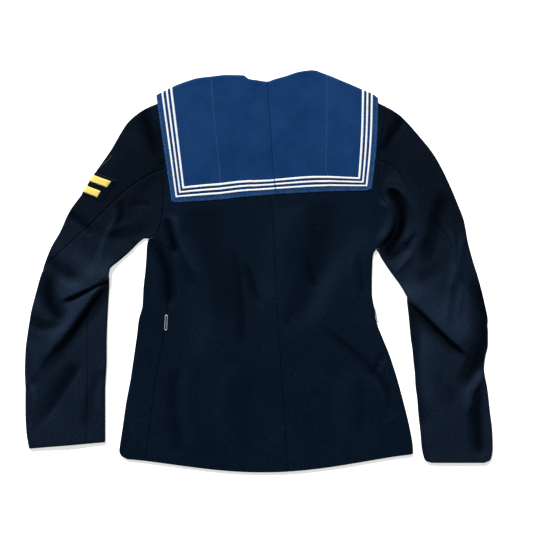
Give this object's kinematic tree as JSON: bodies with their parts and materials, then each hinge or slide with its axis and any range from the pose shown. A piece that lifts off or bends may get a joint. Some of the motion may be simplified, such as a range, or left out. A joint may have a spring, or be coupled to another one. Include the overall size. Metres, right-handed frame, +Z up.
{
  "type": "sailor top laid flat, back up",
  "caption": "Long-sleeved dark wool sailor top laid flat with its back up, with a blue square collar edged in white tape, a V badge on one sleeve and belt hooks at the waist.",
  "frame": {"origin": "on the surface below the middle of the whole laid garment", "axes": "+X across the garment towards its right sleeve as seen from above, +Y towards the neck, +Z up out of the surface"},
  "size_m": [0.793, 0.6824, 0.0154],
  "materials": {
    "serge": "matt napped wool",
    "collar_cotton": "matt cotton",
    "white_tape": "matt woven tape",
    "badge_cloth": "matt wool",
    "yellow_braid": "woven braid",
    "hook_wire": "dull grey wire"
  },
  "bodies": {
    "root": {"back_left": "serge", "back_right": "serge", "front_left": "serge", "front_right": "serge", "sleeve_left_top": "serge", "sleeve_left_under": "serge", "sleeve_right_top": "serge", "sleeve_right_under": "serge", "collar": "collar_cotton", "collar_tape_outer": "white_tape", "collar_tape_middle": "white_tape", "collar_tape_inner": "white_tape", "badge_patch": "badge_cloth", "chevron_upper": "yellow_braid", "chevron_lower": "yellow_braid", "belt_hook_left": "hook_wire", "belt_hook_right": "hook_wire"}
  },
  "joints": []
}
